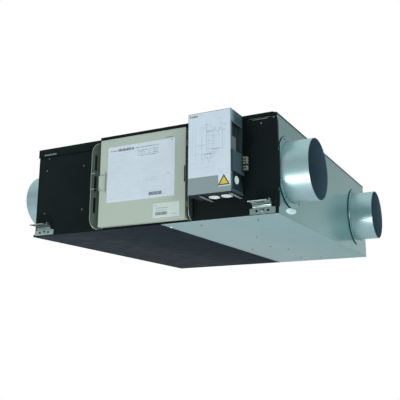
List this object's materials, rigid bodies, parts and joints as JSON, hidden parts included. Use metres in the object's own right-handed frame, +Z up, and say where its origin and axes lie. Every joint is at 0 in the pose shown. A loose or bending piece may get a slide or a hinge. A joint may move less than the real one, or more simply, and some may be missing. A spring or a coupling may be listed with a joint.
{
  "type": "heat recovery unit",
  "caption": "Flat ceiling-hung heat recovery ventilator with four round duct spigots, a hinged service door, a wired control box and slotted hanging brackets.",
  "frame": {"origin": "centre of the casing's flat underside, on the dark underside panel", "axes": "+Z up, the casing's short side; +Y from the front with the service door and control box to the back, the longest side; +X to the right as seen from the front, towards the supply and return spigots"},
  "size_m": [1.0395, 1.145, 0.307],
  "materials": {
    "black_panel": "satin",
    "slate_panel": "satin",
    "galvanised": "satin",
    "duct_steel": "gloss",
    "cover_steel": "satin",
    "zinc_plate": "satin",
    "insulation": "matte",
    "gasket": "matte",
    "control_box": "satin",
    "control_cover": "satin",
    "core_paper": "matte",
    "filter_cloth": "matte",
    "motor_case": "satin",
    "fan_plastic": "matte",
    "terminal_plastic": "matte",
    "connector_plastic": "matte",
    "circuit_board": "satin"
  },
  "bodies": {
    "casing": {"bulkhead_outdoor_side": "galvanised", "bulkhead_room_side": "galvanised", "circuit_board": "circuit_board", "control_box_body": "control_box", "control_box_cover": "control_cover", "core_chamber_end_wall": "galvanised", "core_rail_bottom": "galvanised", "core_rail_left": "galvanised", "core_rail_right": "galvanised", "core_rail_top": "galvanised", "damper_frame": "galvanised", "damper_motor": "motor_case", "divider_outdoor_side": "galvanised", "divider_room_side": "galvanised", "exchanger_core_front": "core_paper", "exchanger_core_rear": "core_paper", "exhaust_fan_motor": "motor_case", "exhaust_fan_scroll": "galvanised", "front_left_panel": "black_panel", "front_right_panel": "black_panel", "front_top_rail": "black_panel", "hanging_bracket_front_left": "zinc_plate", "hanging_bracket_front_right": "zinc_plate", "hanging_bracket_rear_left": "zinc_plate", "hanging_bracket_rear_right": "zinc_plate", "hinge_bracket_lower": "zinc_plate", "hinge_bracket_upper": "zinc_plate", "hinge_flange": "cover_steel", "latch_flange": "cover_steel", "left_end_panel": "galvanised", "outdoor_filter_front": "filter_cloth", "outdoor_filter_rear": "filter_cloth", "rear_panel": "galvanised", "right_end_panel": "galvanised", "room_filter_front": "filter_cloth", "room_filter_rear": "filter_cloth", "service_opening_frame": "galvanised", "side_connectors": "connector_plastic", "spigot_exhaust_air": "duct_steel", "spigot_outdoor_air": "duct_steel", "spigot_return_air": "duct_steel", "spigot_supply_air": "duct_steel", "supply_fan_motor": "motor_case", "supply_fan_scroll": "galvanised", "terminal_block": "terminal_plastic", "top_panel": "galvanised", "transformer": "motor_case", "underside_panel_left": "slate_panel", "underside_panel_right": "galvanised"},
    "service_door": {"door_panel": "cover_steel", "door_insulation": "insulation", "door_gasket": "gasket", "door_hinge_lower": "zinc_plate", "door_hinge_upper": "zinc_plate", "clip_bracket": "zinc_plate"},
    "latch_clip": {"latch_clip": "zinc_plate"},
    "supply_fan_wheel": {"supply_fan_wheel": "fan_plastic"},
    "exhaust_fan_wheel": {"exhaust_fan_wheel": "fan_plastic"},
    "bypass_flap": {"bypass_flap": "galvanised"}
  },
  "joints": [
    {"name": "service_door_swing", "type": "hinge", "parent": "casing", "child": "service_door", "pos_m": [0.1595, -0.528, 0.15], "axis": [0, 0, 1], "range_deg": [0, 95]},
    {"name": "latch_clip_swing", "type": "hinge", "parent": "service_door", "child": "latch_clip", "pos_m": [-0.1426, -0.536, 0.1515], "axis": [0, 0, 1], "range_deg": [0, 100]},
    {"name": "supply_fan_spin", "type": "hinge", "parent": "casing", "child": "supply_fan_wheel", "pos_m": [0.298, -0.318, 0.146], "axis": [0, 0, 1], "continuous": true},
    {"name": "exhaust_fan_spin", "type": "hinge", "parent": "casing", "child": "exhaust_fan_wheel", "pos_m": [-0.298, 0.277, 0.146], "axis": [0, 0, 1], "continuous": true},
    {"name": "bypass_flap_turn", "type": "hinge", "parent": "casing", "child": "bypass_flap", "pos_m": [0.169, 0.455, 0.118], "axis": [0, 0, 1], "range_deg": [0, 90]}
  ]
}
